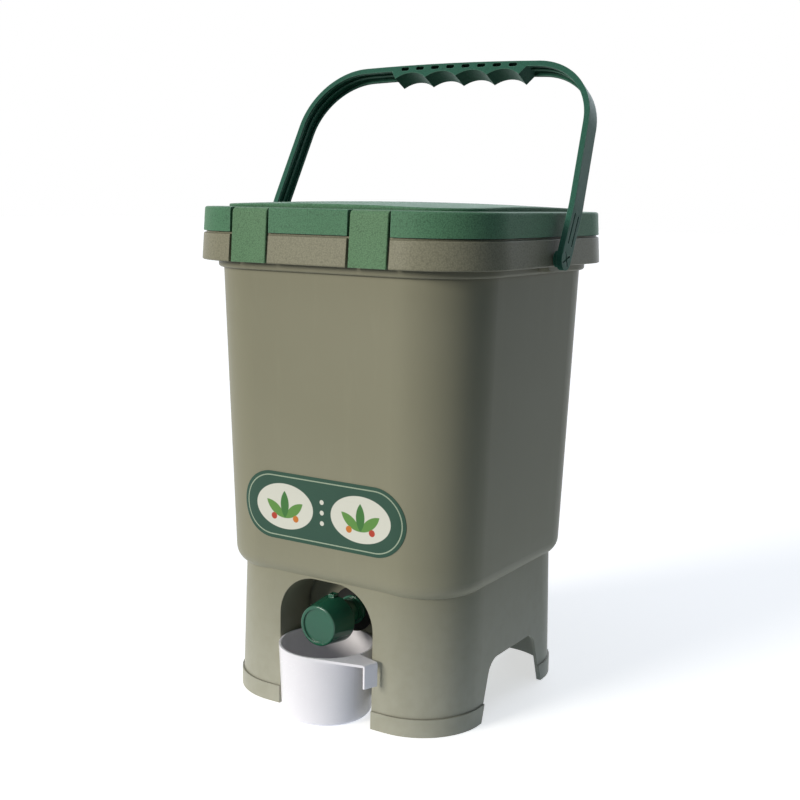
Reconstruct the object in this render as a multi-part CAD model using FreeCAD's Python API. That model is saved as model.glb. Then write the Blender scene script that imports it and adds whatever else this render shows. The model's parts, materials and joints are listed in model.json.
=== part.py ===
import FreeCAD, Part
import math
import os

# Square bokashi bin, in millimetres. Origin at the middle of the footprint on the floor,
# +Z up, the tap and the label face -Y, the bail turns on the X axis through the rim's sides.

# Tub outside
wall = 2.5
rim_low_half = 128.0
rim_low_corner = 60.0
rim_draft = 1.9
rim_top_corner = 56.8
rim_height = 19.8
rim_round = 1.0
rim_bead_inset = 2.0
rim_bead_width = 2.0
rim_bead_gap = 0.3
rim_overhang = 12.8
collar_proud = 3.8
collar_drop = 5.6
collar_round = 2.0
body_draft = 7.2
body_top_corner = 53.0
body_low_corner = 49.6
body_height = 232.6
bulge_radius = 13.0
step_height = 107.6
step_inset = 3.7
skirt_corner = 56.0
foot_spread = 2.1
foot_corner = 51.7
foot_band_height = 13.9
foot_band_proud = 1.2

# Tub inside
sump_floor_height = 57.5
sump_draft = 1.3
ledge_rise = 6.9
niche_half = 42.4
niche_top = 106.0
niche_corner = 32.6
niche_depth = 40.4
bay_gap = 4.0
bay_corner = 20.0
bay_foot_gap = 2.0
arch_floor_half = 51.0
arch_top_half = 36.0
arch_height = 45.5
arch_corner = 15.0

# Lid
lid_gap = 1.6
lid_inset = 0.1
lid_draft = 0.9
lid_corner = 56.4
lid_band_height = 17.4
lid_round = 1.8
panel_inset = 17.1
panel_corner = 41.6
panel_rise = 3.4
panel_crown = 2.2
panel_round = 1.0
plug_wall = 2.0
plug_clearance = 0.6
plug_depth = 8.0
seal_width = 2.9
seal_height = 6.0
seal_play = 0.3
seal_rib = 1.8
seal_rib_gap = 1.0

# Latches
latch_spread = 51.0
latch_shift = -2.2
latch_width = 31.0
latch_side_gap = 1.9
latch_plate = 2.4
latch_barrel_radius = 3.7
latch_pin_radius = 1.5
latch_pin_play = 0.06
latch_seat_play = 0.02
latch_cheek = 2.0
latch_back_gap = 0.5
latch_foot_gap = 0.2
latch_lip_height = 4.0
latch_edge_round = 0.8
catch_wall = 2.2
catch_gap = 1.4
catch_bead_radius = 1.0
catch_bead_height = 8.0
catch_bead_length = 24.0
lip_clearance = 0.3

# Bail handle
pivot_above_rim_low = 5.8
bail_tilt = 25.7
bail_stand_off = 8.4
bail_knee = 40.0
bail_knee_round = 150.0
bail_lean = 8.2
bail_height = 155.2
bail_crown = 4.3
bail_corner = 55.0
strap_width = 16.0
strap_depth = 4.4
strap_skin = 2.0
strap_flange = 2.0
strap_rib = 1.6
strap_rib_depth = 3.6
trunnion_radius = 3.0
trunnion_play = 0.06
trunnion_depth = 9.0
bail_side_gap = 0.6
spacer_radius = 6.0
pivot_boss_radius = 10.0
cross_groove = 1.4
cross_groove_depth = 0.8
cross_groove_length = 12.0
leg_groove_start = 11.0
leg_groove_length = 24.0
leg_groove_offset = 3.2
grip_shift = 8.0
grip_pitch = 28.0
grip_fingers = 4
grip_thin = 6.6
grip_thick = 11.4
grip_end_run = 8.0
pocket_length = 7.4
pocket_height = 3.2
pocket_depth = 6.0
pocket_below_top = 3.0

# Tap
tap_height = 74.2
tap_reach = 8.6
knob_radius = 15.4
knob_rear_radius = 18.4
knob_length = 23.5
knob_front_wall = 3.4
knob_dish_depth = 1.2
knob_dish_rim = 2.6
knob_round = 1.3
knob_play = 0.06
lug_width = 5.0
lug_rise = 1.6
lug_length = 6.0
lug_hole_radius = 1.6
core_radius = 8.0
core_bore_radius = 4.5
port_radius = 3.5
core_end_gap = 0.6
neck_radius = 10.0
neck_length = 11.0
neck_groove = 1.2
flange_radius = 11.4
flange_thickness = 2.4
washer_thickness = 1.6
outer_washer_radius = 17.5
inner_washer_radius = 11.0
stem_radius = 8.6
stem_play = 0.3
stem_length = 16.0
nut_radius = 14.0
nut_thickness = 7.0
oring_radius = 1.0
oring_squeeze = 0.04
oring_from_core_end = 6.0
strainer_wall = 1.2
strainer_length = 9.0
strainer_slot = 1.4
strainer_slots = 8

# Cup
cup_x = -5.3
cup_inset = 11.4
cup_rim_radius = 36.6
cup_base_radius = 34.3
cup_height = 55.0
cup_wall = 1.6
cup_base_round = 4.5
tab_angle = -20.0
tab_reach = 20.0
tab_width = 11.8
tab_drop = 18.5
tab_wall = 2.0
tab_round = 1.7
tab_wing_back = 2.0

# Drain plate
plate_play = 0.8
plate_thickness = 3.0
plate_hole_radius = 3.0
plate_hole_pitch = 16.0
plate_hole_margin = 12.0
plate_knob_radius = 7.0
plate_knob_height = 16.0
plate_knob_round = 2.3

# Label
label_half_length = 72.0
label_half_height = 26.0
label_height = 160.0
label_thickness = 0.4

# Heights and widths that follow from the sizes above
over = 1.0
touch = 0.001
rim_low = step_height + body_height
rim_top = rim_low + rim_height
lid_low = rim_top + lid_gap
lid_top = lid_low + lid_band_height
ledge_top = step_height + ledge_rise
sump_floor_top = sump_floor_height + wall
pivot_height = rim_low + pivot_above_rim_low
rim_top_half = rim_low_half - rim_draft
body_top_half = rim_low_half - rim_overhang
body_low_half = body_top_half - body_draft
skirt_top_half = body_low_half - step_inset
foot_half = skirt_top_half + foot_spread
skirt_foot_half = foot_half - foot_band_proud
lid_low_half = rim_top_half - lid_inset
lid_top_half = lid_low_half - lid_draft
panel_half = lid_top_half - panel_inset
bail_foot_half = rim_low_half + bail_stand_off
bail_shoulder_half = bail_foot_half - bail_lean
niche_wall_y = niche_depth - foot_half
tap_front_y = -foot_half - tap_reach
cup_y = cup_inset - foot_half
bay_back_y = cup_y + cup_rim_radius + bay_gap


def vector(x, y, z):
    return FreeCAD.Vector(x, y, z)


UP = vector(0, 0, 1)
ALONG_X = vector(1, 0, 0)
ALONG_Y = vector(0, 1, 0)


def between(low, high, share):
    return low + (high - low) * share


def body_half_at(z):
    return between(body_low_half, body_top_half, (z - step_height) / (rim_top - step_height))


def body_corner_at(z):
    return between(body_low_corner, body_top_corner, (z - step_height) / (rim_top - step_height))


def skirt_half_at(z):
    return between(skirt_foot_half, skirt_top_half, z / step_height)


def rim_half_at(z):
    return between(rim_low_half, rim_top_half, (z - rim_low) / rim_height)


def lid_half_at(z):
    return between(lid_low_half, lid_top_half, (z - lid_low) / lid_band_height)


# Basic forms

def rounded_square(half, corner, z):
    """Closed wire of a square with round corners, about the Z axis."""
    straight = half - corner
    middle = straight + corner * math.sqrt(0.5)
    edges = []
    for quarter in range(4):
        turn = FreeCAD.Rotation(UP, 90 * quarter)
        start = turn.multVec(vector(half, -straight, z))
        bend = turn.multVec(vector(half, straight, z))
        halfway = turn.multVec(vector(middle, middle, z))
        end = turn.multVec(vector(straight, half, z))
        edges.append(Part.LineSegment(start, bend).toShape())
        edges.append(Part.Arc(bend, halfway, end).toShape())
    return Part.Wire(edges)


def frustum(low, high):
    """Solid between two rounded squares, each given as (half width, corner radius, height)."""
    return Part.makeLoft([rounded_square(*low), rounded_square(*high)], True, True)


def body_frustum(low, high, inset):
    """Stretch of the tapering body between two heights, moved in by inset."""
    ends = []
    for z in (low, high):
        ends.append((body_half_at(z) - inset, body_corner_at(z) - inset, z))
    return frustum(*ends)


def block(low, high):
    """Box between two corners."""
    size = high - low
    return Part.makeBox(size.x, size.y, size.z, low)


def rod(radius, length, start, direction):
    return Part.makeCylinder(radius, length, start, direction)


def tube(outer, inner, length, start, direction):
    return rod(outer, length, start, direction).cut(rod(inner, length, start, direction))


def extruded(points, direction):
    """Solid of a closed straight-sided outline."""
    return Part.Face(Part.makePolygon(points + points[:1])).extrude(direction)


def edges_at_height(shape, z):
    return [e for e in shape.Edges if abs(e.BoundBox.ZMin - z) < touch and abs(e.BoundBox.ZMax - z) < touch]


def edges_along(shape, axis):
    """Straight edges that run along one of the axes."""
    chosen = []
    for edge in shape.Edges:
        if edge.Curve.TypeId == "Part::GeomLine" and edge.Curve.Direction.cross(axis).Length < touch:
            chosen.append(edge)
    return chosen


def unit(direction):
    return direction / direction.Length


def rounded_outline(points, rounded, radius, direction):
    """Extruded outline with its corners at some of the points rounded to one radius."""
    solid = extruded(points, direction)
    marks = Part.makeCompound([Part.Vertex(points[index]) for index in rounded])
    chosen = [e for e in edges_along(solid, unit(direction)) if e.distToShape(marks)[0] < touch]
    return solid.makeFillet(radius, chosen)


# Tub

def body_shell_outside():
    """Tapering body with its rounded lower edge, which meets the skirt at the step height."""
    inset = body_low_half - skirt_top_half
    drop = bulge_radius - math.sqrt(bulge_radius ** 2 - (bulge_radius - inset) ** 2)
    base = step_height - drop
    body = body_frustum(base, rim_top, 0)
    return body.makeFillet(bulge_radius, edges_at_height(body, base))


def skirt_outside():
    skirt = frustum((skirt_foot_half, foot_corner - foot_band_proud, 0),
                    (skirt_top_half, skirt_corner, step_height))
    top = frustum((skirt_top_half, skirt_corner, step_height),
                  (skirt_top_half, skirt_corner, ledge_top))
    band_half = skirt_half_at(foot_band_height) + foot_band_proud
    band = frustum((foot_half, foot_corner, 0), (band_half, foot_corner, foot_band_height))
    return skirt.fuse([top, band])


def rim_shell():
    """Rim band: a downturned flange, open below, with a low bead on top that closes the gap to the lid."""
    outside = frustum((rim_low_half, rim_low_corner, rim_low), (rim_top_half, rim_top_corner, rim_top))
    round_edges = edges_at_height(outside, rim_low) + edges_at_height(outside, rim_top)
    outside = outside.makeFillet(rim_round, round_edges)
    web = rim_top - wall
    inside = frustum((rim_low_half - wall, rim_low_corner - wall, rim_low - over),
                     (rim_half_at(web) - wall, rim_top_corner - wall, web))
    bead_half = rim_top_half - rim_bead_inset
    bead = square_ring(bead_half, bead_half - rim_bead_width, rim_top_corner - rim_bead_inset,
                       rim_top - wall / 2, lid_low - rim_bead_gap)
    return outside.cut(inside).fuse(bead)


def collar():
    low = rim_low - collar_drop
    high = rim_low + collar_drop
    ring = frustum((body_half_at(low) + collar_proud, body_corner_at(low) + collar_proud, low),
                   (body_half_at(high) + collar_proud, body_corner_at(high) + collar_proud, high))
    return ring.makeFillet(collar_round, edges_at_height(ring, low))


def body_cavity():
    return body_frustum(ledge_top, rim_top + over, wall)


def sump_cavity():
    half = skirt_top_half - wall
    corner = skirt_corner - wall
    return frustum((half - sump_draft, corner - sump_draft, sump_floor_top), (half, corner, ledge_top + over))


def under_cavity():
    low_half = skirt_foot_half - wall
    high_half = skirt_half_at(sump_floor_height) - wall
    corner = foot_corner - foot_band_proud - wall
    return frustum((low_half, corner, -over), (high_half, corner, sump_floor_height))


def niche_prism(grow, floor, front, back):
    """Arched niche along Y, its outline grown by the given amount."""
    half = niche_half + grow
    top = niche_top + grow
    outline = [vector(-half, front, floor), vector(half, front, floor),
               vector(half, front, top), vector(-half, front, top)]
    return rounded_outline(outline, (2, 3), niche_corner + grow, vector(0, back - front, 0))


def bay_prism(grow, low, high):
    """Space for the cup under the sump, grown by the given amount, with round rear corners."""
    half = niche_half + grow
    front = -skirt_top_half + wall / 2
    back = bay_back_y + grow
    outline = [vector(-half, front, low), vector(half, front, low), vector(half, back, low),
               vector(-half, back, low)]
    return rounded_outline(outline, (2, 3), bay_corner + grow, UP * (high - low))


def bay_wall():
    """Upright wall round the cup's space, which hides the hollow under the sump."""
    high = sump_floor_height + wall / 2
    return bay_prism(wall, bay_foot_gap, high).cut(bay_prism(0, bay_foot_gap - over, sump_floor_height))


def arch_prism(direction, start):
    """Arch between two feet, a trapezoid with round upper corners, cut along a direction."""
    spread = (arch_floor_half - arch_top_half) / arch_height
    low_half = arch_floor_half + spread * over
    side = UP.cross(unit(direction))
    outline = []
    for across, z in ((-low_half, -over), (low_half, -over), (arch_top_half, arch_height),
                      (-arch_top_half, arch_height)):
        outline.append(start + side * across + UP * z)
    return rounded_outline(outline, (2, 3), arch_corner, direction)


def latch_places():
    """Name, X of the middle and turn about Z of each latch."""
    places = []
    for end, turn in (("front", 0), ("rear", 180)):
        for side, x in (("left", -latch_spread), ("right", latch_spread)):
            places.append((end + "_" + side, (x if turn == 0 else -x) + latch_shift, turn))
    return places


def catch_face():
    """How far the catch wall's outer face stands from the middle of the tub."""
    return latch_face_at(rim_low) - latch_plate - catch_gap


def latch_bay():
    """Notch in the rim band for a front latch at x = 0."""
    half = latch_width / 2 + latch_side_gap
    return block(vector(-half, -rim_low_half - over, rim_low - over),
                 vector(half, -catch_face(), lid_low))


def latch_catch():
    """Wall, cheeks and bead behind a front latch at x = 0."""
    half = latch_width / 2 + latch_side_gap
    outer_half = half + latch_cheek
    face = catch_face()
    low = rim_low + latch_lip_height + over
    back = block(vector(-outer_half, -face, low), vector(outer_half, -face + catch_wall, rim_top - wall / 2))
    pieces = [back]
    for side in (-1, 1):
        near = side * half
        far = side * outer_half
        pieces.append(block(vector(min(near, far), -rim_low_half + wall, low),
                            vector(max(near, far), -face + catch_wall, rim_top - wall / 2)))
    bead_start = vector(-catch_bead_length / 2, -face, rim_low + catch_bead_height)
    pieces.append(rod(catch_bead_radius, catch_bead_length, bead_start, ALONG_X))
    return pieces[0].fuse(pieces[1:])


def placed(shape, x, turn):
    """Copy of a front piece moved along the front by x, then turned about Z."""
    copy = shape.copy()
    copy.translate(vector(x, 0, 0))
    copy.rotate(vector(0, 0, 0), UP, turn)
    return copy


def pivot_face():
    """Outer end of the pivot bosses, inside the rim band's face."""
    return rim_half_at(pivot_height) - wall / 2


def make_tub():
    outside = body_shell_outside().fuse([skirt_outside(), collar()])
    tub = outside.cut(sump_cavity()).cut(under_cavity())
    tub = tub.fuse(niche_prism(wall, sump_floor_height, -skirt_top_half + wall / 2, niche_wall_y + wall))
    tub = tub.fuse(bay_wall())
    tub = tub.cut(niche_prism(0, -over, -foot_half - over, niche_wall_y))
    arch_reach = foot_half + over
    tub = tub.cut(arch_prism(vector(2 * arch_reach, 0, 0), vector(-arch_reach, 0, 0)))
    tub = tub.cut(arch_prism(vector(0, arch_reach, 0), vector(0, 0, 0)))
    rim = rim_shell()
    for name, x, turn in latch_places():
        rim = rim.cut(placed(latch_bay(), x, turn)).fuse(placed(latch_catch(), x, turn))
    tub = tub.fuse(rim)
    boss_root = body_half_at(pivot_height) - wall / 2
    for side in (-1, 1):
        boss = rod(pivot_boss_radius, pivot_face() - boss_root,
                   vector(side * boss_root, 0, pivot_height), ALONG_X * side)
        tub = tub.fuse(boss)
    tub = tub.cut(body_cavity())
    hole_length = trunnion_depth + trunnion_play
    for side in (-1, 1):
        start = vector(side * (rim_low_half - hole_length), 0, pivot_height)
        tub = tub.cut(rod(trunnion_radius + trunnion_play, hole_length + over, start, ALONG_X * side))
    tap_hole = rod(stem_radius + stem_play, 2 * wall, vector(0, niche_wall_y - over, tap_height), ALONG_Y)
    return tub.cut(tap_hole)


# Lid

def plug_half():
    return body_half_at(rim_top) - wall - plug_clearance


def seal_channel_half():
    return plug_half() + seal_width + 2 * seal_play


def square_ring(outer, inner, corner, low, high):
    """Upright ring between two half widths, with the corner radius of its outer face."""
    outside = frustum((outer, corner, low), (outer, corner, high))
    hole_corner = corner - (outer - inner)
    return outside.cut(frustum((inner, hole_corner, low - over), (inner, hole_corner, high + over)))


def crowned_panel(inset):
    """Raised panel of the lid, capped by a large sphere."""
    half = panel_half - inset
    radius = (panel_half ** 2 + panel_crown ** 2) / (2 * panel_crown) - inset
    top = lid_top + panel_rise + panel_crown - inset
    panel = frustum((half, panel_corner - inset, lid_top - wall), (half, panel_corner - inset, top + over))
    return panel.common(Part.makeSphere(radius, vector(0, 0, top - radius)))


def rounded_panel():
    panel = crowned_panel(0)
    low = lid_top
    chosen = [e for e in panel.Edges if e.BoundBox.ZMin > low]
    chosen = [e for e in chosen if abs(e.BoundBox.Center.x) + abs(e.BoundBox.Center.y) > panel_half / 2]
    return panel.makeFillet(panel_round, chosen)


def latch_barrel_half():
    return lid_half_at(lid_top) - latch_barrel_radius + between(0, lid_low_half - lid_top_half,
                                                                latch_barrel_radius / lid_band_height)


def latch_axis_height():
    return lid_top - latch_barrel_radius


def make_lid():
    outside = frustum((lid_low_half, lid_corner, lid_low), (lid_top_half, lid_corner, lid_top))
    outside = outside.makeFillet(lid_round, edges_at_height(outside, lid_top))
    ceiling = lid_top - wall
    inside = frustum((lid_low_half - wall, lid_corner - wall, lid_low - over),
                     (lid_half_at(ceiling) - wall, lid_corner - wall, ceiling))
    lid = outside.cut(inside).fuse(rounded_panel()).cut(crowned_panel(wall))
    plug_corner = body_corner_at(rim_top) - wall - plug_clearance
    plug_inside = plug_half() - plug_wall
    rib_top = lid_top - wall / 2
    plug = square_ring(plug_half(), plug_inside, plug_corner, rim_top - plug_depth, rib_top)
    rib_half = seal_channel_half() + seal_rib
    rib_corner = plug_corner + rib_half - plug_half()
    rib = square_ring(rib_half, seal_channel_half(), rib_corner, rim_top + seal_rib_gap, rib_top)
    seal_top = rim_top + seal_height
    web = square_ring(rib_half, plug_inside, rib_corner, seal_top, seal_top + wall)
    lid = lid.fuse([plug, rib, web])
    half = latch_width / 2 + latch_side_gap
    notch_back = latch_barrel_half() - latch_barrel_radius - latch_back_gap
    notch = block(vector(-half, -lid_low_half - over, lid_low - over),
                  vector(half, -notch_back, lid_top + over))
    back = block(vector(-half - latch_cheek, -notch_back, lid_low + wall),
                 vector(half + latch_cheek, -rib_half + seal_rib, lid_top - wall / 2))
    axis_start = vector(-half - latch_cheek, -latch_barrel_half(), latch_axis_height())
    pin_hole = rod(latch_pin_radius + latch_seat_play, 2 * (half + latch_cheek), axis_start, ALONG_X)
    for name, x, turn in latch_places():
        pieces = [placed(back, x, turn)]
        for side in (-1, 1):
            near = side * half
            far = side * (half + latch_cheek)
            cheek = block(vector(min(near, far), -lid_half_at(lid_top) + lid_round, lid_low + wall),
                          vector(max(near, far), -notch_back, lid_top - wall / 2))
            pieces.append(placed(cheek, x, turn))
        lid = lid.fuse(pieces).cut([placed(notch, x, turn), placed(pin_hole, x, turn)])
    return lid


def make_seal():
    outer = plug_half() + seal_play + seal_width
    corner = body_corner_at(rim_top) - wall - plug_clearance + seal_play + seal_width
    return square_ring(outer, plug_half() + seal_play, corner, rim_top, rim_top + seal_height)


# Latches

def latch_face_at(z):
    """Distance of a latch's outer face from the middle of the bin."""
    top = latch_barrel_half() + latch_barrel_radius
    axis = latch_axis_height()
    return between(rim_low_half, top, (z - rim_low) / (axis - rim_low))


def make_latch():
    """Front latch at x = 0: barrel on the pin, plate flush with the bands, lip at its foot."""
    foot = rim_low + latch_foot_gap
    axis = latch_axis_height()
    lip_top = foot + latch_lip_height
    lip_face = catch_face() + catch_bead_radius + lip_clearance
    face_foot = latch_face_at(foot)
    face_axis = latch_face_at(axis)
    left = -latch_width / 2
    outline = [vector(left, -face_axis, axis), vector(left, -face_foot, foot), vector(left, -lip_face, foot),
               vector(left, -lip_face, lip_top), vector(left, -face_foot + latch_plate, lip_top + over),
               vector(left, -face_axis + latch_plate, axis)]
    plate = extruded(outline, vector(latch_width, 0, 0))
    barrel = rod(latch_barrel_radius, latch_width, vector(left, -latch_barrel_half(), axis), ALONG_X)
    latch = plate.fuse(barrel).removeSplitter()
    outer = []
    for edge in latch.Edges:
        box = edge.BoundBox
        at_side = abs(abs(box.Center.x) - latch_width / 2) < touch and box.XLength < touch
        at_face = box.YMin < -face_axis + touch and box.ZMax < axis + touch
        if at_side and at_face and box.ZLength > latch_plate:
            outer.append(edge)
    latch = latch.makeFillet(latch_edge_round, outer)
    bore = rod(latch_pin_radius + latch_pin_play, latch_width + 2 * over,
               vector(left - over, -latch_barrel_half(), axis), ALONG_X)
    return latch.cut(bore)


def make_latch_pin():
    half = latch_width / 2 + latch_side_gap + latch_cheek
    return rod(latch_pin_radius, 2 * half, vector(-half, -latch_barrel_half(), latch_axis_height()), ALONG_X)


# Bail handle, drawn upright in the plane Y = 0 with its pivot at the origin, then tilted back

def bail_block(inset, near, far):
    """Space under the bail's outline, moved in by inset, between two places across the strap.

    The legs stand upright up to the knee and lean inward above it.
    """
    slope = math.atan2(bail_lean, bail_height - bail_knee)
    foot = bail_foot_half - inset
    knee = bail_knee - inset * math.tan(slope / 2)
    top = bail_height - inset
    shoulder = foot - (top - knee) * math.tan(slope)
    crown = Part.Arc(vector(shoulder, near, top), vector(0, near, top + bail_crown),
                     vector(-shoulder, near, top))
    edges = [crown.toShape(), Part.LineSegment(vector(-foot, near, 0), vector(foot, near, 0)).toShape()]
    radius = bail_knee_round - inset
    bend_low = knee - radius * math.tan(slope / 2)
    for side in (-1, 1):
        low, middle, high = [vector(side * (foot - radius + radius * math.cos(turn)), near,
                                    bend_low + radius * math.sin(turn)) for turn in (0, slope / 2, slope)]
        edges.append(Part.LineSegment(vector(side * foot, near, 0), low).toShape())
        edges.append(Part.Arc(low, middle, high).toShape())
        edges.append(Part.LineSegment(high, vector(side * shoulder, near, top)).toShape())
    wire = Part.Wire(Part.__sortEdges__(edges))
    solid = Part.Face(wire).extrude(vector(0, far - near, 0))
    corners = [e for e in edges_along(solid, ALONG_Y) if e.BoundBox.ZMin > top / 2]
    return solid.makeFillet(bail_corner - inset, corners)


def bail_band(depth, near, far):
    """Strip along the bail's outline, of the given depth, between two places across the strap."""
    return bail_block(0, near, far).cut(bail_block(depth, near - over, far + over))


def bail_top_at(x):
    """Height of the bail's top at a place along the grip."""
    span = bail_shoulder_half
    return bail_height + bail_crown * (1 - (x / span) ** 2)


def grip_solid():
    """Grip under the top of the strap, with one scallop for each finger."""
    half_width = strap_width / 2
    half = grip_pitch * grip_fingers / 2
    edges = []
    sunk = strap_skin / 2
    left = grip_shift - half
    right = grip_shift + half
    start = vector(left - grip_end_run, -half_width, bail_top_at(left) - sunk)
    point = vector(left, -half_width, bail_top_at(left) - grip_thick)
    edges.append(Part.LineSegment(start, point).toShape())
    for finger in range(grip_fingers):
        x = left + grip_pitch * finger
        middle_x = x + grip_pitch / 2
        end_x = x + grip_pitch
        middle = vector(middle_x, -half_width, bail_top_at(middle_x) - grip_thin)
        end = vector(end_x, -half_width, bail_top_at(end_x) - grip_thick)
        edges.append(Part.Arc(point, middle, end).toShape())
        point = end
    last = vector(right + grip_end_run, -half_width, bail_top_at(right) - sunk)
    edges.append(Part.LineSegment(point, last).toShape())
    crest = vector(grip_shift, -half_width, bail_top_at(grip_shift) - sunk)
    edges.append(Part.Arc(last, crest, start).toShape())
    grip = Part.Face(Part.Wire(edges)).extrude(vector(0, strap_width, 0))
    return grip


def grip_pockets():
    """Oval pockets in both side faces of the grip, two over each finger."""
    count = 2 * grip_fingers
    pockets = []
    straight = pocket_length - pocket_height
    radius = pocket_height / 2
    for index in range(count):
        x = grip_shift + grip_pitch / 2 * (index - (count - 1) / 2)
        z = bail_top_at(x) - pocket_below_top
        for side in (-1, 1):
            y = side * (strap_width / 2 + over)
            inward = ALONG_Y * -side
            length = pocket_depth + over
            middle = block(vector(x - straight / 2, min(y, y - side * length), z - radius),
                           vector(x + straight / 2, max(y, y - side * length), z + radius))
            ends = [rod(radius, length, vector(x + end * straight / 2, y, z), inward) for end in (-1, 1)]
            pockets.append(middle.fuse(ends))
    return pockets


def bail_end(side):
    """Round end of a leg with its spacer and trunnion, which goes into the rim."""
    half_width = strap_width / 2
    outer = bail_foot_half * side
    inward = ALONG_X * -side
    end = rod(half_width, strap_depth, vector(outer, 0, 0), inward)
    spacer_face = rim_low_half + bail_side_gap
    spacer = rod(spacer_radius, bail_foot_half - spacer_face, vector(outer, 0, 0), inward)
    trunnion_length = bail_foot_half - rim_low_half + trunnion_depth - bail_side_gap
    trunnion = rod(trunnion_radius, trunnion_length, vector(outer, 0, 0), inward)
    return end.fuse([spacer, trunnion])


def bail_end_grooves(side):
    """Crossed grooves over the pivot and two grooves up the leg, in the outer face."""
    depth = 2 * cross_groove_depth
    grooves = []
    for turn in (45, -45):
        bar = block(vector(-depth / 2, -cross_groove / 2, -cross_groove_length / 2),
                    vector(depth / 2, cross_groove / 2, cross_groove_length / 2))
        bar.rotate(vector(0, 0, 0), ALONG_X, turn)
        bar.translate(vector(side * bail_foot_half, 0, 0))
        grooves.append(bar)
    for offset in (-leg_groove_offset, leg_groove_offset):
        bar = block(vector(-depth / 2, offset - cross_groove / 2, leg_groove_start),
                    vector(depth / 2, offset + cross_groove / 2, leg_groove_start + leg_groove_length))
        bar.translate(vector(side * bail_foot_half, 0, 0))
        grooves.append(bar)
    return grooves


def make_bail():
    half_width = strap_width / 2
    strip = bail_band(strap_skin, -half_width, half_width)
    front = bail_band(strap_depth, -half_width, -half_width + strap_flange)
    back = bail_band(strap_depth, half_width - strap_flange, half_width)
    rib = bail_band(strap_rib_depth, -strap_rib / 2, strap_rib / 2)
    bail = strip.fuse([front, back, rib, grip_solid(), bail_end(-1), bail_end(1)])
    bail = bail.cut(grip_pockets() + bail_end_grooves(-1) + bail_end_grooves(1))
    bail.rotate(vector(0, 0, 0), ALONG_X, -bail_tilt)
    bail.translate(vector(0, 0, pivot_height))
    return bail


# Tap: fixed core through the niche wall, turning knob over its front end

def tap_point(y):
    return vector(0, y, tap_height)


def washer_front_y():
    return niche_wall_y - washer_thickness


def flange_front_y():
    return washer_front_y() - flange_thickness


def core_end_y():
    return tap_front_y + knob_front_wall + core_end_gap


def knob_rear_y():
    return tap_front_y + knob_length


def lug_middle_y():
    return knob_rear_y() - lug_length / 2


def make_tap_body():
    core = rod(core_radius, flange_front_y() - core_end_y(), tap_point(core_end_y()), ALONG_Y)
    flange = rod(flange_radius, flange_thickness, tap_point(flange_front_y()), ALONG_Y)
    neck_start = flange_front_y() - neck_length
    neck = rod(neck_radius, neck_length, tap_point(neck_start), ALONG_Y)
    groove_start = neck_start + neck_length / 2
    groove = tube(neck_radius + over, neck_radius - neck_groove, neck_groove, tap_point(groove_start),
                  ALONG_Y)
    stem = rod(stem_radius, stem_length + washer_thickness, tap_point(washer_front_y()), ALONG_Y)
    body = core.fuse([flange, stem, neck])
    stem_end = niche_wall_y + stem_length
    bore_start = lug_middle_y() - core_bore_radius
    bore = rod(core_bore_radius, stem_end - bore_start + over, tap_point(bore_start), ALONG_Y)
    port = rod(port_radius, core_radius + over, tap_point(lug_middle_y()), -UP)
    return body.cut([bore, port, groove, oring_groove()])


def oring_middle_y():
    return core_end_y() + oring_from_core_end


def oring_ring_radius():
    return core_radius + oring_squeeze - oring_radius


def oring_groove():
    half = oring_radius
    return tube(core_radius + over, oring_ring_radius() - oring_radius, 2 * half,
                tap_point(oring_middle_y() - half), ALONG_Y)


def make_tap_oring():
    return Part.makeTorus(oring_ring_radius(), oring_radius, tap_point(oring_middle_y()), ALONG_Y)


def make_tap_knob():
    knob = Part.makeCone(knob_radius, knob_rear_radius, knob_length, tap_point(tap_front_y), ALONG_Y)
    front = [e for e in knob.Edges if e.BoundBox.YMax < tap_front_y + touch]
    rear = [e for e in knob.Edges if e.BoundBox.YMin > knob_rear_y() - touch]
    knob = knob.makeFillet(knob_round, front + rear)
    lug = block(vector(-lug_width / 2, knob_rear_y() - lug_length, tap_height + core_radius + over),
                vector(lug_width / 2, knob_rear_y(), tap_height + knob_rear_radius + lug_rise))
    spout = rod(lug_hole_radius, knob_rear_radius + lug_rise, tap_point(lug_middle_y()), UP)
    dish = rod(knob_radius - knob_dish_rim, knob_dish_depth, tap_point(tap_front_y), ALONG_Y)
    bore_start = tap_front_y + knob_front_wall
    bore = rod(core_radius + knob_play, knob_length, tap_point(bore_start), ALONG_Y)
    return knob.fuse(lug).cut([spout, dish, bore])


def make_tap_washer(radius, start_y):
    return tube(radius, stem_radius + stem_play, washer_thickness, tap_point(start_y), ALONG_Y)


def nut_start_y():
    return niche_wall_y + wall + washer_thickness


def make_tap_nut():
    corners = []
    for corner in range(6):
        angle = math.radians(60 * corner)
        across = nut_radius * math.cos(angle)
        rise = nut_radius * math.sin(angle)
        corners.append(vector(across, nut_start_y(), tap_height + rise))
    nut = extruded(corners, vector(0, nut_thickness, 0))
    return nut.cut(rod(stem_radius, nut_thickness, tap_point(nut_start_y()), ALONG_Y))


def make_strainer():
    """Slotted cap pushed over the inner end of the stem."""
    start = nut_start_y() + nut_thickness
    outer = stem_radius + strainer_wall
    cap = rod(outer, strainer_length, tap_point(start), ALONG_Y)
    cap = cap.cut(rod(stem_radius, strainer_length - strainer_wall, tap_point(start), ALONG_Y))
    slots = []
    for index in range(strainer_slots):
        bar = block(vector(core_radius / 2, niche_wall_y + stem_length + strainer_wall, -strainer_slot / 2),
                    vector(outer + over, start + strainer_length - strainer_wall, strainer_slot / 2))
        bar.rotate(vector(0, 0, 0), ALONG_Y, index * 360 / strainer_slots)
        bar.translate(vector(0, 0, tap_height))
        slots.append(bar)
    return cap.cut(slots)


# Cup

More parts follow.
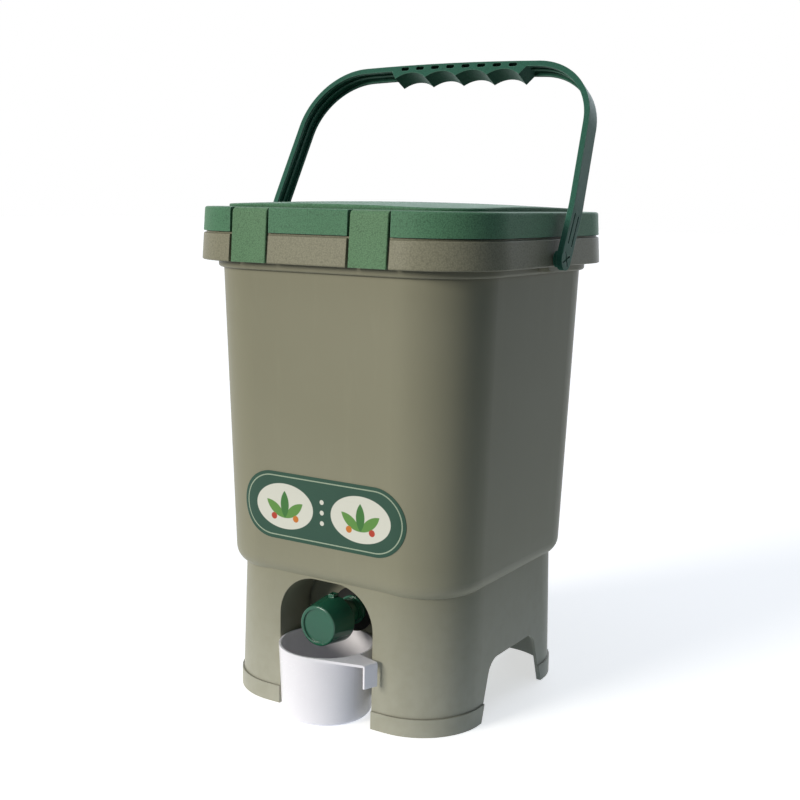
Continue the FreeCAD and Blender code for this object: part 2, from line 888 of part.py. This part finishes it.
def make_cup():
    outside = Part.makeCone(cup_base_radius, cup_rim_radius, cup_height)
    outside = outside.makeFillet(cup_base_round, edges_at_height(outside, 0))
    reach = cup_rim_radius + tab_reach
    half = tab_width / 2
    tangent = -math.atan2(half, reach) - math.acos(cup_rim_radius / math.hypot(reach, half))
    leaves_rim = vector(math.cos(tangent), math.sin(tangent), 0) * cup_rim_radius
    wing = [vector(0, 0, 0), leaves_rim, vector(reach, -half, 0), vector(reach, half, 0),
            vector(0, tab_wing_back, 0)]
    wing = [point + UP * (cup_height - tab_wall) for point in wing]
    flange = extruded(wing, UP * tab_wall)
    tab = block(vector(reach - tab_wall, -half, cup_height - tab_drop), vector(reach, half, cup_height))
    handle = flange.fuse(tab).removeSplitter()
    bend = [e for e in edges_at_height(handle, cup_height) if e.BoundBox.XMin > reach - touch]
    cup = outside.fuse(handle.makeFillet(tab_round, bend))
    slope = (cup_rim_radius - cup_base_radius) / cup_height
    low_inside = cup_base_radius + slope * cup_wall - cup_wall
    inside = Part.makeCone(low_inside, cup_rim_radius - cup_wall + slope * over, cup_height - cup_wall + over,
                           vector(0, 0, cup_wall))
    cup = cup.cut(inside)
    cup.rotate(vector(0, 0, 0), UP, tab_angle)
    cup.translate(vector(cup_x, cup_y, 0))
    return cup


# Drain plate

def make_drain_plate():
    half = body_half_at(ledge_top) - wall - plate_play
    corner = body_corner_at(ledge_top) - wall - plate_play
    top = ledge_top + plate_thickness
    plate = frustum((half, corner, ledge_top), (half, corner, top))
    knob = rod(plate_knob_radius, plate_knob_height, vector(0, 0, top), UP)
    knob_top = edges_at_height(knob, top + plate_knob_height)
    plate = plate.fuse(knob.makeFillet(plate_knob_round, knob_top))
    reach = half - plate_hole_margin
    count = int(reach / plate_hole_pitch)
    holes = []
    for column in range(-count, count + 1):
        for row in range(-count, count + 1):
            x = column * plate_hole_pitch
            y = row * plate_hole_pitch
            past_x = max(0, abs(x) - (half - corner))
            past_y = max(0, abs(y) - (half - corner))
            in_plate = math.hypot(past_x, past_y) < corner - plate_hole_margin
            if in_plate and math.hypot(x, y) > plate_knob_radius + plate_hole_radius:
                holes.append(rod(plate_hole_radius, plate_thickness, vector(x, y, ledge_top), UP))
    return plate.cut(holes)


# Label

def make_label():
    """Pill-shaped sticker that follows the front wall and the start of its corners."""
    low = label_height - label_half_height - over
    high = label_height + label_half_height + over
    skin = body_frustum(low, high, -label_thickness).cut(body_frustum(step_height, rim_top, 0))
    straight = label_half_length - label_half_height
    front = vector(-straight, -body_top_half - over, label_height - label_half_height)
    back = vector(straight, 0, label_height + label_half_height)
    pill = block(front, back)
    for side in (-1, 1):
        start = vector(side * straight, front.y, label_height)
        pill = pill.fuse(rod(label_half_height, -front.y, start, ALONG_Y))
    return skin.common(pill)


def save(name, shape):
    """Write one piece as its own file and say how many solids and how much volume it has."""
    print(name, "valid" if shape.isValid() else "NOT VALID", len(shape.Solids), round(shape.Volume))
    solid = shape.Solids[0] if len(shape.Solids) == 1 else shape
    solid.exportStep("parts/" + name + ".step")


def main():
    os.makedirs("parts", exist_ok=True)
    save("tub", make_tub())
    save("lid", make_lid())
    save("lid_seal", make_seal())
    for name, x, turn in latch_places():
        save("latch_" + name, placed(make_latch(), x, turn))
        save("latch_pin_" + name, placed(make_latch_pin(), x, turn))
    save("bail_handle", make_bail())
    save("tap_body", make_tap_body())
    save("tap_knob", make_tap_knob())
    save("tap_oring", make_tap_oring())
    save("tap_outer_washer", make_tap_washer(outer_washer_radius, washer_front_y()))
    save("tap_inner_washer", make_tap_washer(inner_washer_radius, niche_wall_y + wall))
    save("tap_nut", make_tap_nut())
    save("tap_strainer", make_strainer())
    save("cup", make_cup())
    save("drain_plate", make_drain_plate())
    save("front_label", make_label())


main()
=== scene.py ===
import json
import math

import bpy
from mathutils import Matrix, Vector

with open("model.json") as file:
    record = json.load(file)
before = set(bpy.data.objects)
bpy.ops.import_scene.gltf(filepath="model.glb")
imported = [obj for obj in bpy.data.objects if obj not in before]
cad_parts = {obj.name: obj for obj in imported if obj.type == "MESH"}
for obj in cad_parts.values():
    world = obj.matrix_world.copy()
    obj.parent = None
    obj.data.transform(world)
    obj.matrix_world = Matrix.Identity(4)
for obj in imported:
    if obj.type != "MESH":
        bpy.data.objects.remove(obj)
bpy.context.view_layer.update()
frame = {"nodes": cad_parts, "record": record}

MM = 0.001

# Places on the bin that the looks follow, in metres
RIM_LOW = 340.2 * MM
LABEL_HEIGHT = 160 * MM
LABEL_HALF_LENGTH = 72 * MM
LABEL_HALF_HEIGHT = 26 * MM

# How far up a pale film of dust and painted light thrown up by the floor reaches, and its share at the
# floor
DUST_AND_FLOOR_LIGHT_REACH = 130 * MM
DUST_AND_FLOOR_LIGHT_SHARE = 0.5

# Generic print on the label, measured from its middle
PRINT_EDGE = 0.15 * MM
BORDER_INSET = 3 * MM
BORDER_WIDTH = 0.9 * MM
OVAL_PLACE = 34 * MM
OVAL_RADII = (26 * MM, 17.5 * MM)
SPRIG_FOOT = (0, -9 * MM)
LEAF_LENGTH = 21 * MM
LEAF_WIDTH = 7.5 * MM
SIDE_LEAF_ANGLE = 52
BERRY_PLACE = (10 * MM, -8.5 * MM)
BERRY_RADIUS = 2.6 * MM
DOT_PITCH = 8 * MM
DOT_RADIUS = 1.8 * MM

# How near a face of the same piece has to stand to paint shade into a corner, the open shares between
# which the painted shade clears, and the share of its colour that the closest corner keeps
PAINTED_SHADE_REACH = 5 * MM
PAINTED_SHADE_OPENNESS = (0.12, 0.85)
PAINTED_CORNER_SHADE = 0.25

# How far the normal turns between an open face and a rubbed edge with a painted highlight, and how pale
# that edge gets
EDGE_TURN = (0.01, 0.12)
EDGE_WEAR_AND_HIGHLIGHT = 0.7

# Radius that the light sees on moulded edges
EDGE_ROUND = 0.8 * MM

# Shine of polypropylene
PLASTIC_IOR = 1.48
PLASTIC_SPECULAR = 0.12

# Floor, in metres
FLOOR_SIZE = 30.0

# Share of the floor's white that doesn't depend on the lamps, so that the shadow stays pale
FLOOR_GLOW = 0.58

# Cool light that the floor near the bin throws up besides the lamps' own, as a lit studio table does
TABLE_GLOW = 0.28

# Distances between which the light thrown back by the floor fades, as round a small studio table
BRIGHT_FLOOR = (0.18, 0.7)

# Dim light from all round and its colour, which the lamp on the shaded side has too
ROOM_FILL = 0.085
COOL_FILL = "#8fc0e2"

# Camera that stands where the photograph was taken from
CAMERA_PLACE = Vector((0.5050, -0.8108, 0.3867))
CAMERA_AZIMUTH = 31.917
CAMERA_PITCH = 11.523
CAMERA_ROLL = 0.991
CAMERA_LENS = 54.63
CAMERA_SENSOR = 36.0
CAMERA_SHIFT = (-0.0027, 0.0579)


def linear(hex_colour):
    """Linear RGBA of an sRGB hex colour."""
    channels = []
    for start in (1, 3, 5):
        value = int(hex_colour[start:start + 2], 16) / 255
        if value <= 0.04045:
            channels.append(value / 12.92)
        else:
            channels.append(((value + 0.055) / 1.055) ** 2.4)
    return (*channels, 1.0)


def fill_in(tree, node, settings):
    """Set a node's properties and inputs: a socket is linked, anything else is a fixed value."""
    for name, value in settings.items():
        if hasattr(node, str(name)):
            setattr(node, name, value)
        elif isinstance(value, bpy.types.NodeSocket):
            tree.links.new(value, node.inputs[name])
        else:
            node.inputs[name].default_value = value


def add(tree, kind, settings, output=0):
    """One shader node with its settings and links; gives one of its outputs."""
    node = tree.nodes.new("ShaderNode" + kind)
    fill_in(tree, node, settings)
    return node.outputs[output] if node.outputs else None


class Surface:
    """A new material: its tree, the place of a point in metres, and its Principled shader."""

    def __init__(self, name):
        self.material = bpy.data.materials.new(name)
        self.material.use_nodes = True
        self.tree = self.material.node_tree
        self.shader = self.tree.nodes["Principled BSDF"]
        self.place = add(self.tree, "TexCoord", {}, "Object")

    def finished(self, settings):
        """Set or link inputs of the Principled shader and give the material."""
        fill_in(self.tree, self.shader, settings)
        return self.material


# Patterns that several materials share

def tones(surface, size, dark, light):
    """Colour that drifts between two tones over patches of about size metres."""
    clouds = add(surface.tree, "TexNoise", {"Vector": surface.place, "Scale": 1 / size}, "Fac")
    return add(surface.tree, "Mix", {"data_type": "RGBA", 0: clouds, 6: linear(dark), 7: linear(light)}, 2)


def shaded(surface, colour, pattern, low, high):
    """Colour scaled by a 0 to 1 pattern, from low to high."""
    factor = add(surface.tree, "MapRange", {"Value": pattern, "To Min": low, "To Max": high})
    return add(surface.tree, "VectorMath", {"operation": "SCALE", 0: colour, "Scale": factor})


def streaks(surface, stretch, size):
    """0 to 1 pattern of thin rubbed marks, squeezed by stretch along each axis."""
    tree = surface.tree
    squeezed = add(tree, "VectorMath", {"operation": "MULTIPLY", 0: surface.place, 1: stretch})
    marks = add(tree, "TexNoise", {"Vector": squeezed, "Scale": 1 / size, "Detail": 5,
                                   "Roughness": 0.7}, "Fac")
    return add(tree, "MapRange", {"Value": marks, "From Min": 0.55, "From Max": 0.8})


def dust_and_painted_floor_light(surface, colour, height, tint):
    """Colour with a thin, nearly even pale film of dust and painted floor light, which fades with height
    above the floor.
    """
    tree = surface.tree
    low = add(tree, "MapRange", {"Value": height, "From Min": DUST_AND_FLOOR_LIGHT_REACH, "From Max": 0,
                                 "To Max": DUST_AND_FLOOR_LIGHT_SHARE})
    patches = add(tree, "TexNoise", {"Vector": surface.place, "Scale": 1 / (9 * MM), "Detail": 4}, "Fac")
    patches = add(tree, "MapRange", {"Value": patches, "From Min": -0.6, "From Max": 0.6})
    share = add(tree, "Math", {"operation": "MULTIPLY", 0: low, 1: patches})
    return add(tree, "Mix", {"data_type": "RGBA", 0: share, 6: colour, 7: linear(tint)}, 2)


def edge_wear_and_painted_highlight(surface, colour, rounded_normal, tint):
    """Colour painted paler on edges, as rubbing wear and a painted highlight, where the rounded normal
    leaves the face's own one.
    """
    tree = surface.tree
    own_normal = add(tree, "NewGeometry", {}, "Normal")
    both = {"operation": "DOT_PRODUCT", 0: rounded_normal, 1: own_normal}
    along = add(tree, "VectorMath", both, "Value")
    share = add(tree, "MapRange", {"Value": along, "From Min": 1 - EDGE_TURN[0],
                                   "From Max": 1 - EDGE_TURN[1], "To Max": EDGE_WEAR_AND_HIGHLIGHT})
    return add(tree, "Mix", {"data_type": "RGBA", 0: share, 6: colour, 7: linear(tint)}, 2)


def painted_corner_shade(surface, colour):
    """Colour with painted shade where a face of the same piece stands close, as under the rim and the
    step.
    """
    tree = surface.tree
    nearby = {"samples": 8, "only_local": True, "Distance": PAINTED_SHADE_REACH}
    openness = add(tree, "AmbientOcclusion", nearby, "AO")
    clear = add(tree, "MapRange", {"Value": openness, "From Min": PAINTED_SHADE_OPENNESS[0],
                                   "From Max": PAINTED_SHADE_OPENNESS[1]})
    return shaded(surface, colour, clear, PAINTED_CORNER_SHADE, 1)


# Materials

def tub_polypropylene():
    """Olive polypropylene: smooth satin body, and a fine spark grain on the rim band."""
    surface = Surface("olive satin polypropylene")
    tree = surface.tree
    colour = tones(surface, 90 * MM, "#8b8974", "#93917d")
    colour = shaded(surface, colour, streaks(surface, (1, 1, 0.15), 14 * MM), 0.99, 1.05)
    height = add(tree, "SeparateXYZ", {"Vector": surface.place}, "Z")
    on_rim = add(tree, "MapRange", {"Value": height, "From Min": RIM_LOW - 2 * MM,
                                    "From Max": RIM_LOW + 1 * MM})
    pebbles = add(tree, "TexVoronoi", {"feature": "SMOOTH_F1", "Vector": surface.place,
                                       "Scale": 1 / (1.1 * MM), "Smoothness": 0.4}, "Distance")
    grain = add(tree, "Mix", {0: on_rim, 2: 0.35, 3: pebbles})
    colour = shaded(surface, colour, grain, 1.16, 0.74)
    # Painted shade in corners, and a pale film near the floor: dust together with painted light thrown up
    # by the floor
    colour = painted_corner_shade(surface, dust_and_painted_floor_light(surface, colour, height, "#bab9ad"))
    fine = add(tree, "TexNoise", {"Vector": surface.place, "Scale": 1 / (0.7 * MM)}, "Fac")
    relief = add(tree, "Math", {"operation": "MULTIPLY_ADD", 0: fine, 1: 0.16, 2: grain})
    soft_edges = add(tree, "Bevel", {"samples": 6, "Radius": EDGE_ROUND})
    normal = add(tree, "Bump", {"Height": relief, "Distance": 0.08 * MM, "Normal": soft_edges})
    scuffs = streaks(surface, (1, 1, 5), 6 * MM)
    roughness = add(tree, "MapRange", {"Value": scuffs, "To Min": 0.40, "To Max": 0.50})
    return surface.finished({"Base Color": colour, "Roughness": roughness, "IOR": PLASTIC_IOR,
                             "Specular IOR Level": PLASTIC_SPECULAR, "Normal": normal})


def grained_green(name, dark, light, edge_wear_and_highlight_tint, grain_size, relief_depth, roughness):
    """Green polypropylene with a pebble grain that catches the light, edges painted paler as wear and
    highlight, and painted shade in corners.
    """
    surface = Surface(name)
    tree = surface.tree
    pebbles = add(tree, "TexVoronoi", {"feature": "SMOOTH_F1", "Vector": surface.place,
                                       "Scale": 1 / grain_size, "Smoothness": 0.4}, "Distance")
    fine = add(tree, "TexNoise", {"Vector": surface.place, "Scale": 2 / grain_size}, "Fac")
    colour = shaded(surface, tones(surface, 60 * MM, dark, light), pebbles, 1.35, 0.65)
    soft_edges = add(tree, "Bevel", {"samples": 6, "Radius": EDGE_ROUND})
    # Edges painted paler as wear and highlight, then painted shade in the corners
    colour = painted_corner_shade(surface, edge_wear_and_painted_highlight(surface, colour, soft_edges, edge_wear_and_highlight_tint))
    relief = add(tree, "Math", {"operation": "MULTIPLY_ADD", 0: fine, 1: 0.4, 2: pebbles})
    normal = add(tree, "Bump", {"Height": relief, "Distance": relief_depth, "Normal": soft_edges})
    rubbed = streaks(surface, (1, 1, 4), 7 * MM)
    shine = add(tree, "MapRange", {"Value": rubbed, "To Min": roughness, "To Max": roughness - 0.08})
    return surface.finished({"Base Color": colour, "Roughness": shine, "IOR": PLASTIC_IOR,
                             "Specular IOR Level": PLASTIC_SPECULAR, "Normal": normal})


def lid_polypropylene():
    """Lid: a grain that shows as fine speckle."""
    return grained_green("grained green polypropylene", dark="#4e7a5c", light="#5a8568", edge_wear_and_highlight_tint="#84ae97",
                         grain_size=0.9 * MM, relief_depth=0.14 * MM, roughness=0.50)


def latch_painted_lit():
    """Latches: a lit copy of the lid's grain, painted slightly paler and yellower."""
    return grained_green("painted lit grained green polypropylene", dark="#5a805e", light="#688c6b",
                         edge_wear_and_highlight_tint="#93b497", grain_size=0.9 * MM, relief_depth=0.14 * MM, roughness=0.50)


def bail_polypropylene():
    """Bail: nearly smooth, with a satin shine."""
    return grained_green("satin green polypropylene", dark="#285747", light="#316252", edge_wear_and_highlight_tint="#6f9a89",
                         grain_size=0.8 * MM, relief_depth=0.03 * MM, roughness=0.46)


def plate_polypropylene():
    """Drain plate: plain and a little paler than the lid."""
    return grained_green("plain green polypropylene", dark="#476a50", light="#52765a", edge_wear_and_highlight_tint="#7d9c84",
                         grain_size=1.4 * MM, relief_depth=0.04 * MM, roughness=0.48)


def tap_abs():
    """Dark green ABS with a high gloss and faint hairline scratches from turning."""
    surface = Surface("glossy green ABS")
    tree = surface.tree
    colour = tones(surface, 25 * MM, "#1a5640", "#22644b")
    hairs = streaks(surface, (1, 6, 1), 1.2 * MM)
    roughness = add(tree, "MapRange", {"Value": hairs, "To Min": 0.16, "To Max": 0.30})
    ripple = add(tree, "TexNoise", {"Vector": surface.place, "Scale": 1 / (5 * MM), "Detail": 1}, "Fac")
    soft_edges = add(tree, "Bevel", {"samples": 6, "Radius": 0.6 * MM})
    normal = add(tree, "Bump", {"Height": ripple, "Distance": 0.04 * MM, "Normal": soft_edges})
    return surface.finished({"Base Color": colour, "Roughness": roughness, "IOR": 1.52, "Normal": normal})


def cup_polypropylene():
    """Thin white polypropylene: glossy, and a little light goes through."""
    surface = Surface("glossy white polypropylene")
    tree = surface.tree
    colour = tones(surface, 30 * MM, "#eae7ed", "#f0eef2")
    hairs = streaks(surface, (1, 1, 6), 3 * MM)
    roughness = add(tree, "MapRange", {"Value": hairs, "To Min": 0.24, "To Max": 0.36})
    ripple = add(tree, "TexNoise", {"Vector": surface.place, "Scale": 1 / (8 * MM), "Detail": 1}, "Fac")
    normal = add(tree, "Bump", {"Height": ripple, "Distance": 0.03 * MM})
    return surface.finished({"Base Color": colour, "Roughness": roughness, "IOR": 1.49, "Normal": normal,
                             "Subsurface Weight": 0.15, "Subsurface Radius": (1, 1, 1),
                             "Subsurface Scale": 3 * MM})


def seal_rubber():
    """Soft black rubber with a dull, slightly bloomed skin."""
    surface = Surface("soft black rubber")
    tree = surface.tree
    colour = tones(surface, 12 * MM, "#232323", "#2c2c2b")
    skin = add(tree, "TexNoise", {"Vector": surface.place, "Scale": 1 / (0.9 * MM)}, "Fac")
    roughness = add(tree, "MapRange", {"Value": skin, "To Min": 0.58, "To Max": 0.70})
    normal = add(tree, "Bump", {"Height": skin, "Distance": 0.03 * MM})
    return surface.finished({"Base Color": colour, "Roughness": roughness, "IOR": 1.52,
                             "Specular IOR Level": 0.2, "Normal": normal})


def pin_steel():
    """Dark drawn steel wire with fine lines along its length, a dull speck in each latch slit."""
    surface = Surface("drawn steel wire")
    tree = surface.tree
    drawn = add(tree, "VectorMath", {"operation": "MULTIPLY", 0: surface.place, 1: (0.05, 1, 1)})
    lines = add(tree, "TexNoise", {"Vector": drawn, "Scale": 1 / (0.3 * MM)}, "Fac")
    colour = add(tree, "Mix", {"data_type": "RGBA", 0: lines, 6: linear("#3f403e"),
                               7: linear("#4c4d4a")}, 2)
    roughness = add(tree, "MapRange", {"Value": lines, "To Min": 0.4, "To Max": 0.5})
    return surface.finished({"Base Color": colour, "Metallic": 1.0, "Roughness": roughness})


def oval(tree, spot, centre, radii):
    """1 inside an oval on the label, 0 outside, with an edge as crisp as print."""
    from_centre = add(tree, "VectorMath", {"operation": "SUBTRACT", 0: spot, 1: (centre[0], 0, centre[1])})
    share = add(tree, "VectorMath", {"operation": "DIVIDE", 0: from_centre, 1: (radii[0], 1, radii[1])})
    reach = add(tree, "VectorMath", {"operation": "LENGTH", 0: share}, "Value")
    edge = PRINT_EDGE / min(radii)
    return add(tree, "MapRange", {"Value": reach, "From Min": 1 + edge, "From Max": 1 - edge})


def leaf(tree, spot, angle):
    """1 inside a pointed leaf that grows from the sprig's foot at an angle: where two circles overlap."""
    foot = (SPRIG_FOOT[0], 0, SPRIG_FOOT[1])
    upright = add(tree, "VectorRotate", {"rotation_type": "Y_AXIS", "Vector": spot, "Center": foot,
                                         "Angle": math.radians(-angle)})
    radius = (LEAF_LENGTH ** 2 + LEAF_WIDTH ** 2) / (4 * LEAF_WIDTH)
    offset = radius - LEAF_WIDTH / 2
    middle = SPRIG_FOOT[1] + LEAF_LENGTH / 2
    left, right = [oval(tree, upright, (side * offset, middle), (radius, radius)) for side in (-1, 1)]
    return add(tree, "Math", {"operation": "MULTIPLY", 0: left, 1: right})


def border_line(tree, spot):
    """1 on a thin line that follows the label's pill-shaped edge, 0 elsewhere."""
    straight = LABEL_HALF_LENGTH - LABEL_HALF_HEIGHT
    past_straight = add(tree, "VectorMath", {"operation": "SUBTRACT", 0: spot, 1: (straight, 0, 0)})
    past_straight = add(tree, "VectorMath", {"operation": "MAXIMUM", 0: past_straight,
                                             1: (0, 0, -LABEL_HEIGHT)})
    from_spine = add(tree, "VectorMath", {"operation": "LENGTH", 0: past_straight}, "Value")
    return add(tree, "Math", {"operation": "COMPARE", 0: from_spine, 1: LABEL_HALF_HEIGHT - BORDER_INSET,
                              2: BORDER_WIDTH / 2})


def label_film():
    """Printed film: dark green ground, two pale ovals with a sprig in each, under a soft sheen."""
    surface = Surface("printed film sticker")
    tree = surface.tree
    middle = (0, 0, LABEL_HEIGHT)
    from_middle = add(tree, "VectorMath", {"operation": "SUBTRACT", 0: surface.place, 1: middle})
    spot = add(tree, "VectorMath", {"operation": "MULTIPLY", 0: from_middle, 1: (1, 0, 1)})
    across = add(tree, "SeparateXYZ", {"Vector": spot}, "X")
    upward = add(tree, "SeparateXYZ", {"Vector": spot}, "Z")
    either_side = add(tree, "Math", {"operation": "ABSOLUTE", 0: across})
    mirrored = add(tree, "CombineXYZ", {"X": either_side, "Z": upward})
    in_oval = add(tree, "VectorMath", {"operation": "SUBTRACT", 0: mirrored, 1: (OVAL_PLACE, 0, 0)})
    prints = [(border_line(tree, mirrored), "#9fae97")]
    prints.append((oval(tree, in_oval, (0, 0), OVAL_RADII), "#dcdcd0"))
    for angle, tint in ((-SIDE_LEAF_ANGLE, "#5f8f45"), (SIDE_LEAF_ANGLE, "#5f8f45"), (0, "#3f7438")):
        prints.append((leaf(tree, in_oval, angle), tint))
    for side, tint in ((-1, "#c9772f"), (1, "#b5412f")):
        centre = (side * BERRY_PLACE[0], BERRY_PLACE[1])
        prints.append((oval(tree, in_oval, centre, (BERRY_RADIUS, BERRY_RADIUS)), tint))
    for step in (-1, 0, 1):
        prints.append((oval(tree, spot, (0, step * DOT_PITCH), (DOT_RADIUS, DOT_RADIUS)), "#dcdcd0"))
    colour = tones(surface, 30 * MM, "#27483a", "#2d5040")
    for shape, tint in prints:
        colour = add(tree, "Mix", {"data_type": "RGBA", 0: shape, 6: colour, 7: linear(tint)}, 2)
    fibre = add(tree, "TexNoise", {"Vector": surface.place, "Scale": 1 / (0.5 * MM)}, "Fac")
    roughness = add(tree, "MapRange", {"Value": fibre, "To Min": 0.36, "To Max": 0.44})
    normal = add(tree, "Bump", {"Height": fibre, "Distance": 0.01 * MM})
    return surface.finished({"Base Color": colour, "Roughness": roughness, "IOR": 1.48,
                             "Specular IOR Level": 0.3, "Normal": normal})


def dress():
    """Give every CAD node the material of its slot, and the latches their own copy painted paler as lit.
    """
    looks = {
        "tub_plastic": tub_polypropylene(),
        "lid_plastic": lid_polypropylene(),
        "bail_plastic": bail_polypropylene(),
        "tap_plastic": tap_abs(),
        "cup_plastic": cup_polypropylene(),
        "plate_plastic": plate_polypropylene(),
        "seal_rubber": seal_rubber(),
        "pin_steel": pin_steel(),
        "label_film": label_film(),
    }
    # The latches wear a copy of the lid's look painted paler, as lit
    latch = latch_painted_lit()
    own_looks = {f"latch_{end}_{side}": latch for end in ("front", "rear") for side in ("left", "right")}
    slots = {part["node"]: part["material_slot"] for part in frame["record"]["subparts"]}
    for name, node in frame["nodes"].items():
        node.data.materials.clear()
        node.data.materials.append(own_looks.get(name, looks[slots[name]]))


# Stage, light and camera

def seen_directly(tree):
    """1 for what the camera, a reflection or a clear piece shows, 0 for light that only bounces."""
    camera = add(tree, "LightPath", {}, "Is Camera Ray")
    clear = add(tree, "LightPath", {}, "Is Transmission Ray")
    mirrored = add(tree, "LightPath", {}, "Is Glossy Ray")
    seen = add(tree, "Math", {"operation": "MAXIMUM", 0: camera, 1: clear})
    return add(tree, "Math", {"operation": "MAXIMUM", 0: seen, 1: mirrored})


def make_floor():
    """Pale floor that shows white with the bin's soft shadow, and throws cool light up near the bin."""
    bpy.ops.mesh.primitive_plane_add(size=FLOOR_SIZE, location=(0, 0, 0))
    floor = bpy.context.object
    floor.name = "floor"
    material = bpy.data.materials.new("pale studio floor")
    material.use_nodes = True
    tree = material.node_tree
    tree.nodes.clear()
    white_glow = add(tree, "Emission", {"Color": (1, 1, 1, 1), "Strength": FLOOR_GLOW})
    white = add(tree, "BsdfDiffuse", {"Color": linear("#f8f8f8")})
    shown = add(tree, "AddShader", {0: white_glow, 1: white})
    place = add(tree, "TexCoord", {}, "Object")
    away = add(tree, "VectorMath", {"operation": "LENGTH", 0: place}, "Value")
    near = add(tree, "MapRange", {"interpolation_type": "SMOOTHSTEP", "Value": away,
                                  "From Min": BRIGHT_FLOOR[1], "From Max": BRIGHT_FLOOR[0]})
    paint = add(tree, "Mix", {"data_type": "RGBA", 0: near, 6: linear("#6a6a6a"), 7: linear("#f4f4f4")}, 2)
    strength = add(tree, "Math", {"operation": "MULTIPLY", 0: near, 1: TABLE_GLOW})
    table_glow = add(tree, "Emission", {"Color": linear("#d4e6ff"), "Strength": strength})
    bounced = add(tree, "AddShader", {0: add(tree, "BsdfDiffuse", {"Color": paint}), 1: table_glow})
    floor_look = add(tree, "MixShader", {0: seen_directly(tree), 1: bounced, 2: shown})
    add(tree, "OutputMaterial", {"Surface": floor_look})
    material.cycles.emission_sampling = "NONE"
    floor.data.materials.append(material)


def make_world():
    """White to the camera and to reflections, a dim cool fill to everything else."""
    world = bpy.data.worlds.new("studio")
    bpy.context.scene.world = world
    world.use_nodes = True
    tree = world.node_tree
    tree.nodes.clear()
    white = add(tree, "Background", {"Color": (1, 1, 1, 1), "Strength": 1.0})
    fill = add(tree, "Background", {"Color": linear(COOL_FILL), "Strength": ROOM_FILL})
    sky = add(tree, "MixShader", {0: seen_directly(tree), 1: fill, 2: white})
    add(tree, "OutputWorld", {"Surface": sky})


def sun_light(name, azimuth, elevation, strength, width, colour):
    """Sun-like light: azimuth counts from the front towards the right, width is its spread in degrees."""
    light = bpy.data.lights.new(name, "SUN")
    light.energy = strength
    light.angle = math.radians(width)
    light.color = linear(colour)[:3]
    lamp = bpy.data.objects.new(name, light)
    lamp.rotation_euler = (math.radians(90 - elevation), 0, math.radians(azimuth))
    bpy.context.collection.objects.link(lamp)


def make_lights():
    """One low key, and soft weaker lights that show the other sides and the top."""
    sun_light("low warm key from the front left", azimuth=-25, elevation=16, strength=2.5, width=22,
              colour="#fffaf0")
    sun_light("cool fill from the right rear", azimuth=105, elevation=20, strength=0.10, width=40,
              colour=COOL_FILL)
    sun_light("soft fill from behind", azimuth=190, elevation=20, strength=1.1, width=60, colour="#e6eeff")
    sun_light("soft light from above", azimuth=-30, elevation=78, strength=0.7, width=60, colour="#f4f7ff")


def make_camera():
    """Camera at its place, turned by azimuth and pitch and then rolled about its view."""
    camera = bpy.data.cameras.new("camera")
    camera.lens = CAMERA_LENS
    camera.sensor_width = CAMERA_SENSOR
    camera.shift_x, camera.shift_y = CAMERA_SHIFT
    azimuth = math.radians(CAMERA_AZIMUTH)
    pitch = math.radians(CAMERA_PITCH)
    roll = math.radians(CAMERA_ROLL)
    level = math.cos(pitch)
    back = Vector((math.sin(azimuth) * level, -math.cos(azimuth) * level, math.sin(pitch)))
    right = Vector((math.cos(azimuth), math.sin(azimuth), 0))
    up = back.cross(right)
    across = right * math.cos(roll) + up * math.sin(roll)
    upward = up * math.cos(roll) - right * math.sin(roll)
    turn = Matrix((across, upward, back)).transposed().to_4x4()
    holder = bpy.data.objects.new("camera", camera)
    holder.matrix_world = Matrix.Translation(CAMERA_PLACE) @ turn
    bpy.context.collection.objects.link(holder)
    bpy.context.scene.camera = holder


dress()
make_floor()
make_world()
make_lights()
make_camera()
bpy.context.scene.view_settings.view_transform = "Standard"
